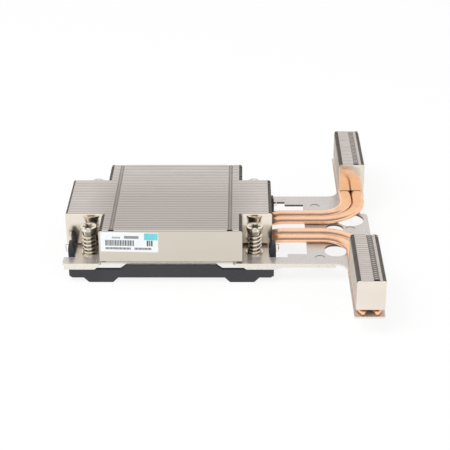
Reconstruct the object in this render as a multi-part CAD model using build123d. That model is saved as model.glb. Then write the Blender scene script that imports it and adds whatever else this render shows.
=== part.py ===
from build123d import *
import math
import os

# Passive heatsink for a server processor. Units are mm, +Z is up, the origin is
# the middle of the face that touches the processor. X runs with the air flow,
# from the main fin stack towards the two outlying stacks; Y runs across it.

# Screw pattern and travel
SCREW_PITCH_X = 94.0
SCREW_PITCH_Y = 56.0
SCREW_TRAVEL = 4.0

# Heat pipes, flattened copper tube
PIPE_W = 7.1
PIPE_H = 3.2
PIPE_CORNER = 0.9
PIPE_PITCH = 7.6
PIPE_INNER_Y = 7.4
PIPE_START_X = -45.0
PIPE_BEND_R = 17.0
PIPE_LEG_IN = 3.7
PIPE_RISE_RUN = 7.0
PIPE_TAPER = 5.6
PIPE_TIP_W = 1.8
PIPE_TIP_H = 1.6
PIPE_TIP_CORNER = 0.4
PIPE_TIP_BACK = 0.7
PIPE_SEAM = 0.05
PIPE_END_ROOM = 0.3

# Fin stacks
FIN_T = 0.4
FIN_TOP = 25.9
FIN_CORNER = 1.2
MAIN_X = 40.0
MAIN_DEPTH = 84.9
MAIN_BACK = 0.75
MAIN_GAP_COUNT = 40
WING_LEFT_X = 60.9
WING_RIGHT_X = 56.9
WING_HEAD_GAP = 1.0
MAIN_MARGIN = 1.8
WING_LEFT_MARGIN = 1.0
REMOTE_X = 99.4
REMOTE_W = 15.4
REMOTE_LENGTH = 50.2
REMOTE_FRONT_Y = 45.2
REMOTE_REAR_Y = 43.0
REMOTE_GAP_COUNT = 24
REMOTE_MARGIN = 2.1
MAIN_ZIP_X = 33.0
REMOTE_ZIP_IN = 10.2
ZIP_W = 1.5
ZIP_D = 0.9
CHEVRON_W = 2.8
CHEVRON_D = 0.7
CHEVRON_PEAK = 0.3

# Carrier plate, one sheet of plated steel with bent-down lips
PLATE_TOP = 5.0
PLATE_T = 1.2
PLATE_EDGE = 13.5
PLATE_STEP = 1.5
STEP_LEFT_OUT = 1.0
STEP_RIGHT_IN = 3.8
PAD_EDGE = 14.3
PAD_CORNER = 0.8
NECK = 8.0
NOTCH_Y = 34.0
LIP_PAD = 3.8
LIP_PAD_END = 11.5
LIP_ARM = 2.5
LIP_ARM_SLOPE = 4.2
LIP_STRIP = 1.8
LIP_STRIP_RUN = 3.6
LIP_SLOPE = 2.5
WINDOW_LENGTH = 22.0
WINDOW_STEP_X = 65.8
WINDOW_STEP_Y = 3.6
FLANGE_IN = 0.8
FLANGE_OUT = 0.2
FLANGE_PAST = 1.3
FLANGE_FILLET = 6.0
WAIST_DEPTH = 4.0
WAIST_Y0 = 18.6
WAIST_Y1 = 42.0
WAIST_FILLET = 2.6
ROUND_HOLE_R = 5.4
ROUND_HOLE_X = 94.3
OVAL_HOLE_X = 93.2
OVAL_HOLE_Y = -26.2
OVAL_HOLE_W = 12.4
OVAL_HOLE_D = 13.4
OVAL_HOLE_R = 5.6
CORNER_HOLE_X = 104.2
CORNER_HOLE_Y = 11.2
CORNER_HOLE_R = 8.2
DIMPLES = ((84.0, -34.6), (84.0, 28.4), (103.6, -0.4))
DIMPLE_R = 2.9
DIMPLE_DEPTH = 0.25

# Copper base: a thin slab on the plate, a keel that holds the heat pipes, and
# the raised pedestal that meets the processor
SLAB_T = 1.5
SLAB_SETBACK = 3.0
KEEL_WALL = 1.2
KEEL_END_WALL = 4.0
KEEL_FLOOR_T = 1.1
PEDESTAL_X = 70.0
PEDESTAL_Y = 50.0
BASE_CLEARANCE = 0.4

# Black plastic frame
FRAME_OUT = 2.8
FRAME_WALL_Y = 2.5
FRAME_WALL_X = 2.4
FRAME_LOW_TOP = 1.0
FRAME_BAR_BOTTOM = -4.0
FRAME_FOOT_BOTTOM = -7.0
FRAME_CORNER = 1.6
CREST_HALF = 25.0
CREST_SLOPE = 3.8
FOOT_X = 39.9
FOOT_TOP_HALF = 9.8
FOOT_BOTTOM_HALF = 6.8
RIB_X = 22.0
RIB_Y = 29.0
RIB_T = 1.6
HOOK_W = 5.0
HOOK_T = 3.4
HOOK_OUT = 1.4
HOOK_TOP = 14.8
HOOK_TAPER = 3.0
HOOK_TAPER_IN = 1.1
HOOK_BARB = 1.4
HOOK_BARB_TOP = 8.2
HOOK_BARB_SLOPE = 1.6
HOOK_CATCH = 0.1
LOOP_WIRE = 0.5
LOOP_OUT = 1.7
LOOP_Z0 = 5.4
LOOP_Z1 = 10.2

# Screws, springs, rings and seats
HEAD_R = 4.6
HEAD_TOP = 21.9
HEAD_H = 4.5
HEAD_EDGE = 0.4
RECESS_R = 2.7
RECESS_ROOT_R = 1.9
RECESS_DEPTH = 2.6
SHANK_R = 2.7
SHANK_CLEARANCE = 0.3
THREAD_R = 2.0
TIP_CLEARANCE = 1.5
GROOVE_R = 1.6
RING_R = 4.0
RING_T = 0.8
RING_GAP = 0.05
SEAT_R = 4.8
SEAT_T = 0.6
SPRING_OUT_R = 4.3
SPRING_IN_R = 3.1
SPRING_SIDES = 16

# Label on the front end fin
LABEL_X0 = -39.1
LABEL_X1 = -6.7
LABEL_Z0 = 12.75
LABEL_Z1 = 25.25
LABEL_T = 0.12
LABEL_TILT = 1.2

# Overlap of a cutting tool past the face that it cuts
CUT = 1.0

SCREW_X = SCREW_PITCH_X / 2
SCREW_Y = SCREW_PITCH_Y / 2
HEAD_BOTTOM = HEAD_TOP - HEAD_H
THREAD_TIP = FRAME_FOOT_BOTTOM + SCREW_TRAVEL + TIP_CLEARANCE
PLATE_BOTTOM = PLATE_TOP - PLATE_T
PLATE_EDGE_Y = SCREW_Y + PLATE_EDGE
PAD_OUTER_X = SCREW_X + PAD_EDGE
NECK_X = SCREW_X + NECK
WINDOW_X = NECK_X + WINDOW_LENGTH
WINDOW_Y = NOTCH_Y - WINDOW_STEP_Y
REMOTE_OUT_X = REMOTE_X + REMOTE_W
REMOTE_ZIP_X = REMOTE_X + REMOTE_ZIP_IN
FLANGE_IN_X = REMOTE_X - FLANGE_IN
FLANGE_OUT_X = REMOTE_OUT_X + FLANGE_OUT
FLANGE_END_Y = max(REMOTE_FRONT_Y, REMOTE_REAR_Y) + REMOTE_LENGTH + FLANGE_PAST
WAIST_X = FLANGE_OUT_X - WAIST_DEPTH
SLAB_TOP = PLATE_TOP + SLAB_T
PIPE_OUTER_Y = PIPE_INNER_Y + PIPE_PITCH
PIPE_LOW = SLAB_TOP - PIPE_H / 2
PIPE_HIGH = PLATE_TOP + PIPE_H / 2
PIPE_LEG_X = REMOTE_X + PIPE_LEG_IN
PIPE_TIP_Y = FLANGE_END_Y - PIPE_TIP_BACK
REMOTE_BASE = PLATE_TOP + PIPE_H
KEEL_X0 = PIPE_START_X - KEEL_END_WALL
KEEL_X1 = NECK_X - BASE_CLEARANCE
KEEL_Y = PIPE_OUTER_Y + PIPE_W / 2 + PIPE_SEAM + KEEL_WALL
KEEL_FLOOR = SLAB_TOP - PIPE_H - KEEL_FLOOR_T
FIN_PITCH = (MAIN_DEPTH - FIN_T) / MAIN_GAP_COUNT
MAIN_FRONT_Y = MAIN_BACK - MAIN_DEPTH / 2
MAIN_REAR_Y = MAIN_BACK + MAIN_DEPTH / 2
WING_HALF_Y = SCREW_Y - HEAD_R - WING_HEAD_GAP
FRAME_X = NECK_X + FRAME_OUT
FRAME_Y = PLATE_EDGE_Y
HOOK_OUT_X = FRAME_X + HOOK_OUT


def block(x0, x1, y0, y1, z0, z1):
    """A box between two corners."""
    return Pos((x0 + x1) / 2, (y0 + y1) / 2, (z0 + z1) / 2) * Box(x1 - x0, y1 - y0, z1 - z0)


def sheet(points, z0, z1):
    """A flat piece with this outline in plan."""
    return Pos(0, 0, z0) * extrude(make_face(Polyline(*points, close=True)), z1 - z0)


def wall(points, y0, y1):
    """An upright piece with this outline in X and Z, from y0 to y1."""
    face = make_face(Polyline(*[(x, 0, z) for x, z in points], close=True))
    return Pos(0, y0, 0) * extrude(face, y1 - y0, dir=(0, 1, 0))


def rod(x, y, r, z0, z1):
    """An upright round bar."""
    return Pos(x, y, (z0 + z1) / 2) * Cylinder(r, z1 - z0)


def screw_places():
    return {
        "front_left": (-SCREW_X, -SCREW_Y),
        "front_right": (SCREW_X, -SCREW_Y),
        "rear_left": (-SCREW_X, SCREW_Y),
        "rear_right": (SCREW_X, SCREW_Y),
    }


# Carrier plate

def plate_outline():
    """The sheet in plan, anticlockwise from the front left pad."""
    inner = PLATE_EDGE_Y - PLATE_STEP
    step_left = -MAIN_X - STEP_LEFT_OUT
    step_right = MAIN_X - STEP_RIGHT_IN
    front = [
        (-PAD_OUTER_X, -PLATE_EDGE_Y),
        (step_left, -PLATE_EDGE_Y),
        (step_left + PLATE_STEP, -inner),
        (step_right - PLATE_STEP, -inner),
        (step_right, -PLATE_EDGE_Y),
        (FLANGE_IN_X, -PLATE_EDGE_Y),
        (FLANGE_IN_X, -FLANGE_END_Y),
        (FLANGE_OUT_X, -FLANGE_END_Y),
    ]
    side = [
        (FLANGE_OUT_X, WAIST_Y0),
        (WAIST_X, WAIST_Y0),
        (WAIST_X, WAIST_Y1),
        (FLANGE_OUT_X, WAIST_Y1),
    ]
    rear = [(x, -y) for x, y in reversed(front)]
    neck = [
        (-PAD_OUTER_X, NOTCH_Y),
        (-NECK_X, NOTCH_Y),
        (-NECK_X, -NOTCH_Y),
        (-PAD_OUTER_X, -NOTCH_Y),
    ]
    return front + side + rear + neck


def lip_profiles():
    """Side views of the bent-down lips: deep at the pads, shallow along the arm."""
    deep = PLATE_TOP - LIP_PAD
    arm = PLATE_TOP - LIP_ARM
    strip = PLATE_TOP - LIP_STRIP
    step_left = -MAIN_X - STEP_LEFT_OUT
    step_right = MAIN_X - STEP_RIGHT_IN
    pad_start = step_right + LIP_STRIP_RUN
    pad_end = SCREW_X + LIP_PAD_END
    arm_end = FLANGE_IN_X - FLANGE_FILLET
    left = [
        (PAD_CORNER - PAD_OUTER_X, PLATE_TOP),
        (PAD_CORNER - PAD_OUTER_X, deep),
        (step_left - LIP_SLOPE, deep),
        (step_left, strip),
        (step_left, PLATE_TOP),
    ]
    right = [
        (step_right, PLATE_TOP),
        (step_right, strip),
        (pad_start, strip),
        (pad_start + LIP_SLOPE, deep),
        (pad_end, deep),
        (pad_end + LIP_ARM_SLOPE, arm),
        (arm_end, arm),
        (arm_end, PLATE_TOP),
    ]
    return left, right


def base_opening(z0, z1):
    """Opening for the copper base, running into the window beside the right wing."""
    c = BASE_CLEARANCE
    keel = block(KEEL_X0 - c, NECK_X, -KEEL_Y - c, KEEL_Y + c, z0, z1)
    half_x = PEDESTAL_X / 2 + c
    half_y = PEDESTAL_Y / 2 + c
    pedestal = block(-half_x, half_x, -half_y, half_y, z0, z1)
    wide = block(NECK_X, WINDOW_STEP_X, -NOTCH_Y, NOTCH_Y, z0, z1)
    window = block(WINDOW_STEP_X, WINDOW_X, -WINDOW_Y, WINDOW_Y, z0, z1)
    return keel + pedestal + wide + window


def upright_edges(part, places, near=0.2):
    """Upright edges that stand at one of these places in plan."""
    found = []
    for edge in part.edges().filter_by(Axis.Z):
        c = edge.center()
        if any(math.hypot(c.X - x, c.Y - y) < near for x, y in places):
            found.append(edge)
    return found


def carrier_plate():
    lo = PLATE_BOTTOM - CUT
    hi = PLATE_TOP + CUT
    plate = sheet(plate_outline(), PLATE_BOTTOM, PLATE_TOP)
    arm_roots = [(FLANGE_IN_X, s * PLATE_EDGE_Y) for s in (-1, 1)]
    plate = fillet(upright_edges(plate, arm_roots), FLANGE_FILLET)
    corners = [(-PAD_OUTER_X, s * PLATE_EDGE_Y) for s in (-1, 1)]
    corners += [(x, s * FLANGE_END_Y) for x in (FLANGE_IN_X, FLANGE_OUT_X) for s in (-1, 1)]
    plate = chamfer(upright_edges(plate, corners), PAD_CORNER)
    plate = fillet(upright_edges(plate, [(FLANGE_OUT_X, WAIST_Y0)]), WAIST_FILLET)
    plate -= base_opening(lo, hi)
    plate -= rod(ROUND_HOLE_X, 0, ROUND_HOLE_R, lo, hi)
    plate -= rod(CORNER_HOLE_X, CORNER_HOLE_Y, CORNER_HOLE_R, lo, hi)
    oval = RectangleRounded(OVAL_HOLE_W, OVAL_HOLE_D, OVAL_HOLE_R)
    plate -= Pos(OVAL_HOLE_X, OVAL_HOLE_Y, lo) * extrude(oval, hi - lo)
    for x, y in screw_places().values():
        plate -= rod(x, y, SHANK_R + SHANK_CLEARANCE, lo, hi)
    for x, y in DIMPLES:
        plate -= rod(x, y, DIMPLE_R, PLATE_TOP - DIMPLE_DEPTH, hi)
    lips = []
    for profile in lip_profiles():
        lips.append(wall(profile, -PLATE_EDGE_Y, PLATE_T - PLATE_EDGE_Y))
        lips.append(wall(profile, PLATE_EDGE_Y - PLATE_T, PLATE_EDGE_Y))
    return plate + lips


# Copper base and heat pipes

def pipe_rows():
    return (-PIPE_OUTER_Y, -PIPE_INNER_Y, PIPE_INNER_Y, PIPE_OUTER_Y)


def slab_outline():
    """The slab in plan: a block with an arm under each wing of the fin stack."""
    x_mid = MAIN_X - SLAB_SETBACK
    x_left = WING_LEFT_X - SLAB_SETBACK
    x_right = WING_RIGHT_X - SLAB_SETBACK
    y_mid = PLATE_EDGE_Y - PLATE_STEP - BASE_CLEARANCE
    y_arm = KEEL_Y - KEEL_WALL / 2
    front = [
        (-x_left, -y_arm),
        (-x_mid, -y_arm),
        (-x_mid, -y_mid),
        (x_mid, -y_mid),
        (x_mid, -y_arm),
        (x_right, -y_arm),
    ]
    return front + [(x, -y) for x, y in reversed(front)]


def pipe_face(width=PIPE_W, height=PIPE_H, corner=PIPE_CORNER):
    """Flattened tube seen along its length."""
    w = width / 2
    h = height / 2
    half = [(w, corner - h), (w, h - corner), (w - corner, h), (corner - w, h)]
    return make_face(Polyline(*half, *[(-x, -y) for x, y in half], close=True))


def copper_base():
    slab = sheet(slab_outline(), PLATE_TOP, SLAB_TOP)
    keel = block(KEEL_X0, KEEL_X1, -KEEL_Y, KEEL_Y, KEEL_FLOOR, PLATE_TOP)
    half_x = PEDESTAL_X / 2
    half_y = PEDESTAL_Y / 2
    pedestal = block(-half_x, half_x, -half_y, half_y, 0, PLATE_TOP)
    base = slab + keel + pedestal
    channel = pipe_face(PIPE_W + 2 * PIPE_SEAM)
    x0 = PIPE_START_X - PIPE_END_ROOM
    x1 = KEEL_X1 + CUT
    half = PIPE_W / 2 + PIPE_SEAM
    for y in pipe_rows():
        base -= Pos(x0, 0, 0) * extrude(Plane.YZ * Pos(y, PIPE_LOW) * channel, x1 - x0)
        base -= block(x0, x1, y - half, y + half, PIPE_LOW, SLAB_TOP + CUT)
    return base


def across(x, y, z):
    """Plane that cuts a pipe running along X."""
    return Plane(origin=(x, y, z), x_dir=(0, 1, 0), z_dir=(1, 0, 0))


def heat_pipe(row, side):
    """One pipe: out of the base, up onto the plate, round the bend, to its closed tip."""
    y = side * (PIPE_INNER_Y + row * PIPE_PITCH)
    reach = (1 - row) * PIPE_PITCH
    x_rise = WING_RIGHT_X
    x_flat = WING_RIGHT_X + PIPE_RISE_RUN
    x_bend = PIPE_LEG_X - PIPE_BEND_R
    y_bend = side * (PIPE_OUTER_Y + PIPE_BEND_R)
    y_taper = PIPE_TIP_Y - PIPE_TAPER
    face = pipe_face()

    run = extrude(across(PIPE_START_X, y, PIPE_LOW) * face, x_rise - PIPE_START_X)
    rise = loft([across(x_rise, y, PIPE_LOW) * face, across(x_flat, y, PIPE_HIGH) * face], ruled=True)
    flat = extrude(across(x_flat, y, PIPE_HIGH) * face, x_bend - x_flat)
    bend = revolve(across(x_bend, y, PIPE_HIGH) * face, Axis((x_bend, y_bend, 0), (0, 0, 1)), side * 90)
    end_of_bend = Plane(origin=(PIPE_LEG_X + reach, y_bend, PIPE_HIGH), x_dir=(1, 0, 0), z_dir=(0, side, 0))
    leg = extrude(end_of_bend * face, y_taper - abs(y_bend))
    wide = end_of_bend.offset(y_taper - abs(y_bend))
    tip = wide.offset(PIPE_TAPER)
    small = pipe_face(PIPE_TIP_W, PIPE_TIP_H, PIPE_TIP_CORNER)
    taper = loft([wide * face, tip * small], ruled=True)
    return run + rise + flat + bend + leg + taper


# Fin stacks

def zipper_slots(x, gaps):
    """The row of openings where the flange of each fin locks to the next."""
    tools = []
    for y in gaps:
        corners = [(x - ZIP_W / 2, y - ZIP_D / 2), (x + ZIP_W / 2, y - ZIP_D / 2), (x, y + ZIP_D / 2)]
        tools.append(sheet(corners, FIN_TOP - FIN_T - CUT, FIN_TOP + CUT))
    return tools


def fin_group(left, right, margins, z0, starts, ends, zips):
    """Upright fins between two flanges, with a zipper row at each place in zips.

    starts holds the front face of each fin, ends the two faces that bound the flanges.
    """
    y0, y1 = ends
    bottom = block(left, right, y0, y1, z0, z0 + FIN_T)
    top = block(left + margins[0], right - margins[1], y0, y1, FIN_TOP - FIN_T, FIN_TOP)
    fins = [block(left, right, y, y + FIN_T, z0, FIN_TOP) for y in starts]
    walls = [y0 - FIN_T] * (starts[0] > y0) + starts + [y1] * (starts[-1] + FIN_T < y1)
    gaps = [(near + FIN_T + far) / 2 for near, far in zip(walls, walls[1:])]
    for x in zips:
        top -= zipper_slots(x, gaps)
    return bottom + fins + top


def main_fin_place(k):
    """Front face of a fin of the main stack, the front end fin being number 0."""
    return MAIN_FRONT_Y + k * FIN_PITCH


def main_fin_groups():
    """The narrow front fins, the wide ones between the screws, and the narrow rear ones."""
    zips = (-MAIN_ZIP_X, MAIN_ZIP_X)
    plain = (MAIN_MARGIN, MAIN_MARGIN)
    places = [main_fin_place(k) for k in range(1, MAIN_GAP_COUNT)]
    middle = [y for y in places if -WING_HALF_Y < y < WING_HALF_Y - FIN_T]
    front = [y for y in places if y < middle[0]]
    rear = [y for y in places if y > middle[-1]]
    wing_front = middle[0]
    wing_rear = middle[-1] + FIN_T
    ends_front = (MAIN_FRONT_Y + FIN_T, wing_front)
    ends_rear = (wing_rear, MAIN_REAR_Y - FIN_T)
    wing_margins = (WING_LEFT_MARGIN, MAIN_MARGIN)
    return {
        "main_fins_front": fin_group(-MAIN_X, MAIN_X, plain, SLAB_TOP, front, ends_front, zips),
        "main_fins_middle": fin_group(-WING_LEFT_X, WING_RIGHT_X, wing_margins, SLAB_TOP, middle,
                                      (wing_front, wing_rear), zips),
        "main_fins_rear": fin_group(-MAIN_X, MAIN_X, plain, SLAB_TOP, rear, ends_rear, zips),
    }


def end_fin(x0, x1, y0, z0, zips):
    """A plain fin that closes a stack, its top corners cut and notched over each zipper row."""
    w = CHEVRON_W / 2
    low = FIN_TOP - CHEVRON_D
    peak = FIN_TOP - CHEVRON_PEAK
    outline = [(x0, z0), (x1, z0), (x1, FIN_TOP - FIN_CORNER), (x1 - FIN_CORNER, FIN_TOP)]
    for x in sorted(zips, reverse=True):
        outline += [(x + w, FIN_TOP), (x + w / 2, low), (x, peak), (x - w / 2, low), (x - w, FIN_TOP)]
    outline += [(x0 + FIN_CORNER, FIN_TOP), (x0, FIN_TOP - FIN_CORNER)]
    return wall(outline, y0, y0 + FIN_T)


def remote_front_face(side):
    """Lowest Y of an outlying stack; the rear one sits a little nearer the middle."""
    return REMOTE_REAR_Y if side > 0 else -REMOTE_FRONT_Y - REMOTE_LENGTH


def remote_fin_stack(side):
    """An outlying stack, over the far ends of two pipes."""
    y0 = remote_front_face(side)
    pitch = (REMOTE_LENGTH - FIN_T) / REMOTE_GAP_COUNT
    starts = [y0 + k * pitch for k in range(1, REMOTE_GAP_COUNT)]
    ends = (y0 + FIN_T, y0 + REMOTE_LENGTH - FIN_T)
    margins = (REMOTE_MARGIN, REMOTE_MARGIN)
    return fin_group(REMOTE_X, REMOTE_OUT_X, margins, REMOTE_BASE, starts, ends, (REMOTE_ZIP_X,))


def remote_end_fins(side):
    y0 = remote_front_face(side)
    y1 = y0 + REMOTE_LENGTH - FIN_T
    ends = [end_fin(REMOTE_X, REMOTE_OUT_X, y, REMOTE_BASE, [REMOTE_ZIP_X]) for y in (y0, y1)]
    return Compound(children=ends)


# Captive screws

def star_recess(x, y):
    """Six-pointed drive recess, open at the top of the head."""
    points = []
    for k in range(12):
        r = RECESS_R if k % 2 == 0 else RECESS_ROOT_R
        a = math.radians(30 * k)
        points.append((x + r * math.cos(a), y + r * math.sin(a)))
    return sheet(points, HEAD_TOP - RECESS_DEPTH, HEAD_TOP + CUT)


def screw(x, y):
    """A turned screw: thread, groove that the ring clips to, thicker shank, and wide head."""
    groove_top = PLATE_BOTTOM + RING_GAP
    groove_bottom = PLATE_BOTTOM - RING_T - RING_GAP
    profile = [
        (0, THREAD_TIP),
        (THREAD_R, THREAD_TIP),
        (THREAD_R, groove_bottom),
        (GROOVE_R, groove_bottom),
        (GROOVE_R, groove_top),
        (SHANK_R, groove_top),
        (SHANK_R, HEAD_BOTTOM),
        (HEAD_R, HEAD_BOTTOM),
        (HEAD_R, HEAD_TOP - HEAD_EDGE),
        (HEAD_R - HEAD_EDGE, HEAD_TOP),
        (0, HEAD_TOP),
    ]
    face = make_face(Polyline(*[(r, 0, z) for r, z in profile], close=True))
    return Pos(x, y, 0) * revolve(face, Axis.Z) - star_recess(x, y)


def retaining_ring(x, y):
    """Horseshoe clip pushed into the groove under the plate, so that the screw can't fall out."""
    z0 = PLATE_BOTTOM - RING_T
    hole = GROOVE_R + RING_GAP
    x0, x1 = sorted((x, x + math.copysign(RING_R + CUT, x)))
    ring = rod(x, y, RING_R, z0, PLATE_BOTTOM) - rod(x, y, hole, z0 - CUT, PLATE_BOTTOM + CUT)
    return ring - block(x0, x1, y - hole, y + hole, z0 - CUT, PLATE_BOTTOM + CUT)


def spring(x, y):
    """Room taken by the coil between the seat and the head, as a tube of many flat sides."""
    z0 = PLATE_TOP + SEAT_T
    tube = RegularPolygon(SPRING_OUT_R, SPRING_SIDES) - RegularPolygon(SPRING_IN_R, SPRING_SIDES)
    return Pos(x, y, z0) * extrude(tube, HEAD_BOTTOM - z0)


def spring_seats():
    """Pale washers between the springs and the plate."""
    top = PLATE_TOP + SEAT_T
    hole = SHANK_R + SHANK_CLEARANCE
    seats = []
    for x, y in screw_places().values():
        seats.append(rod(x, y, SEAT_R, PLATE_TOP, top) - rod(x, y, hole, PLATE_TOP - CUT, top + CUT))
    return Compound(children=seats)


# Plastic frame

def frame_side_profile():
    """Front view of the long wall: feet below, a raised crest in the middle."""
    bar = FRAME_BAR_BOTTOM
    half = [
        (CREST_HALF, PLATE_BOTTOM),
        (CREST_HALF + CREST_SLOPE, FRAME_LOW_TOP),
        (FRAME_X, FRAME_LOW_TOP),
        (FRAME_X, bar + FRAME_CORNER),
        (FRAME_X - FRAME_CORNER, bar),
        (FOOT_X + FOOT_TOP_HALF, bar),
        (FOOT_X + FOOT_BOTTOM_HALF, FRAME_FOOT_BOTTOM),
        (FOOT_X - FOOT_BOTTOM_HALF, FRAME_FOOT_BOTTOM),
        (FOOT_X - FOOT_TOP_HALF, bar),
    ]
    return half + [(-x, z) for x, z in reversed(half)]


def hook(sx, sy):
    """Upright latch on an end wall: it passes the plate's edge and catches over it."""
    inner = HOOK_OUT_X - HOOK_T
    catch = PLATE_TOP + HOOK_CATCH
    root = FRAME_X - FRAME_WALL_X
    shape = [
        (root, FRAME_LOW_TOP - CUT),
        (FRAME_X, FRAME_LOW_TOP - CUT),
        (HOOK_OUT_X, FRAME_LOW_TOP + HOOK_OUT),
        (HOOK_OUT_X, HOOK_TOP - HOOK_TAPER),
        (HOOK_OUT_X - HOOK_TAPER_IN / 2, HOOK_TOP),
        (inner + HOOK_TAPER_IN, HOOK_TOP),
        (inner, HOOK_TOP - HOOK_TAPER),
        (inner, HOOK_BARB_TOP),
        (inner - HOOK_BARB, HOOK_BARB_TOP - HOOK_BARB_SLOPE),
        (inner - HOOK_BARB, catch),
        (inner, catch),
        (root, FRAME_LOW_TOP),
    ]
    y0 = sy * SCREW_Y - HOOK_W / 2
    return wall([(sx * x, z) for x, z in shape], y0, y0 + HOOK_W)


def carrier_frame():
    long_walls = [
        wall(frame_side_profile(), -FRAME_Y, FRAME_WALL_Y - FRAME_Y),
        wall(frame_side_profile(), FRAME_Y - FRAME_WALL_Y, FRAME_Y),
    ]
    end_y = FRAME_Y - FRAME_WALL_Y / 2
    others = []
    for sx in (-1, 1):
        x0, x1 = sorted((sx * (FRAME_X - FRAME_WALL_X), sx * FRAME_X))
        others.append(block(x0, x1, -end_y, end_y, FRAME_BAR_BOTTOM, FRAME_LOW_TOP))
        others += [hook(sx, sy) for sy in (-1, 1)]
    for sy in (-1, 1):
        near, far = sorted((sy * RIB_Y, sy * (RIB_Y + RIB_T)))
        others.append(block(-RIB_X, RIB_X, near, far, FRAME_BAR_BOTTOM, FRAME_LOW_TOP))
        near, far = sorted((sy * RIB_Y, sy * end_y))
        for x in (-RIB_X, RIB_X - RIB_T):
            others.append(block(x, x + RIB_T, near, far, FRAME_BAR_BOTTOM, FRAME_LOW_TOP))
    return long_walls[0] + long_walls[1] + others


def hook_loops():
    """Thin wire loops on the outer side of the latches."""
    w = LOOP_WIRE
    x0 = HOOK_OUT_X
    x1 = HOOK_OUT_X + LOOP_OUT
    outer = [(x0, LOOP_Z0), (x1, LOOP_Z0), (x1, LOOP_Z1), (x0, LOOP_Z1)]
    inner = [(x0, LOOP_Z1 - w), (x1 - w, LOOP_Z1 - w), (x1 - w, LOOP_Z0 + w), (x0, LOOP_Z0 + w)]
    loops = []
    for sx in (-1, 1):
        for sy in (-1, 1):
            y0 = sy * SCREW_Y - w / 2
            loops.append(wall([(sx * x, z) for x, z in outer + inner], y0, y0 + w))
    return Compound(children=loops)


def label():
    """White sticker on the front end fin, stuck on slightly askew."""
    sticker = block(LABEL_X0, LABEL_X1, MAIN_FRONT_Y - LABEL_T, MAIN_FRONT_Y, LABEL_Z0, LABEL_Z1)
    middle = ((LABEL_X0 + LABEL_X1) / 2, 0, (LABEL_Z0 + LABEL_Z1) / 2)
    return sticker.rotate(Axis(middle, (0, 1, 0)), LABEL_TILT)


def nodes():
    zips = [-MAIN_ZIP_X, MAIN_ZIP_X]
    made = {
        "carrier_plate": carrier_plate(),
        "copper_base": copper_base(),
        "main_front_fin": end_fin(-MAIN_X, MAIN_X, MAIN_FRONT_Y, SLAB_TOP, zips),
        "main_rear_fin": end_fin(-MAIN_X, MAIN_X, MAIN_REAR_Y - FIN_T, SLAB_TOP, zips),
        "carrier_frame": carrier_frame(),
        "hook_loops": hook_loops(),
        "spring_seats": spring_seats(),
        "label": label(),
    }
    made.update(main_fin_groups())
    for name, side in (("front", -1), ("rear", 1)):
        made[f"heat_pipe_{name}_long"] = heat_pipe(0, side)
        made[f"heat_pipe_{name}_short"] = heat_pipe(1, side)
        made[f"remote_fins_{name}"] = remote_fin_stack(side)
        made[f"remote_end_fins_{name}"] = remote_end_fins(side)
    for name, (x, y) in screw_places().items():
        made[f"screw_{name}"] = screw(x, y)
        made[f"ring_{name}"] = retaining_ring(x, y)
        made[f"spring_{name}"] = spring(x, y)
    return made


os.makedirs("parts", exist_ok=True)
for node, shape in nodes().items():
    export_step(shape, f"parts/{node}.step")
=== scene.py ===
import bpy
import bmesh
import math
from mathutils import Euler, Matrix, Vector


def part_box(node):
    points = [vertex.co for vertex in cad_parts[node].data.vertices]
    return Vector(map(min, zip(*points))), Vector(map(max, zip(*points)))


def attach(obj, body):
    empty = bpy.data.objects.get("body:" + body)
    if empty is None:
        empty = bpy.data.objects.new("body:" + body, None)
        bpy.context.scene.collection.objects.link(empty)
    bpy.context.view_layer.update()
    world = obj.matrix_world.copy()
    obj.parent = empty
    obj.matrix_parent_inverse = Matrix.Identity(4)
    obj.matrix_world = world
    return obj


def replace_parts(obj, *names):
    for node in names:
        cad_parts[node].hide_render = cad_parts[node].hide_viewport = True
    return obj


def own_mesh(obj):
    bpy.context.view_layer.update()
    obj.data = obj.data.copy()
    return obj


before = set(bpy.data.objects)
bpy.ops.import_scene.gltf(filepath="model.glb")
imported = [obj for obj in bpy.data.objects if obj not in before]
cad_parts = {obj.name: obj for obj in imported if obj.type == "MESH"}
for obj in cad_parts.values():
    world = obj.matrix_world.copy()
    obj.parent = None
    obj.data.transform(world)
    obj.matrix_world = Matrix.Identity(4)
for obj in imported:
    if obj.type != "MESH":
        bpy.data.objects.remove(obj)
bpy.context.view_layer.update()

MM = 0.001

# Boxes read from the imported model, in metres
PLATE_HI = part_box("carrier_plate")[1]
FRONT_LO, FRONT_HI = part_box("main_front_fin")
REAR_LO, REAR_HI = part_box("main_rear_fin")
WING_LO, WING_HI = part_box("main_fins_middle")
FRAME_LO, FRAME_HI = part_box("carrier_frame")
LABEL_LO, LABEL_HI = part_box("label")
PLACES = ("front_left", "front_right", "rear_left", "rear_right")

# Fins
FIN_T = FRONT_HI[1] - FRONT_LO[1]
MAIN_GAPS = 40
FIN_PITCH = (REAR_HI[1] - FRONT_LO[1] - FIN_T) / MAIN_GAPS
MAIN_MARGIN = 1.9 * MM
WING_LEFT_MARGIN = 1.4 * MM
REMOTE_GAPS = 24
REMOTE_MARGIN = 2.1 * MM
MAIN_ZIP_X = 33 * MM
REMOTE_ZIP_IN = 10.2 * MM
FOLD_R = 0.18 * MM
SEAM = 0.03 * MM
OPEN_SEAM = 0.3 * MM
SHADE_DEPTH = 2.5 * MM
FLANGE_CUT = 0.01 * MM
FIN_CORNER = 1.2 * MM
EDGE_W = 0.35 * MM
MAIN_ZIP_HALF = 1.2 * MM
MAIN_ZIP_BRIDGE = 0.12
REMOTE_ZIP_HALF = 1.6 * MM
MARK_HALF = 1.6 * MM
ZIP_RISE = 0.7 * MM
ZIP_STROKE = 0.8 * MM
MARK_STROKE = 1.2 * MM
LIP = 0.15 * MM
SLOT_START = 0.22
SLOT_STEPS = (-1.25, -1, -0.6, 0.6, 1, 1.25)
NOTCH = 0.7 * MM
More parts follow.
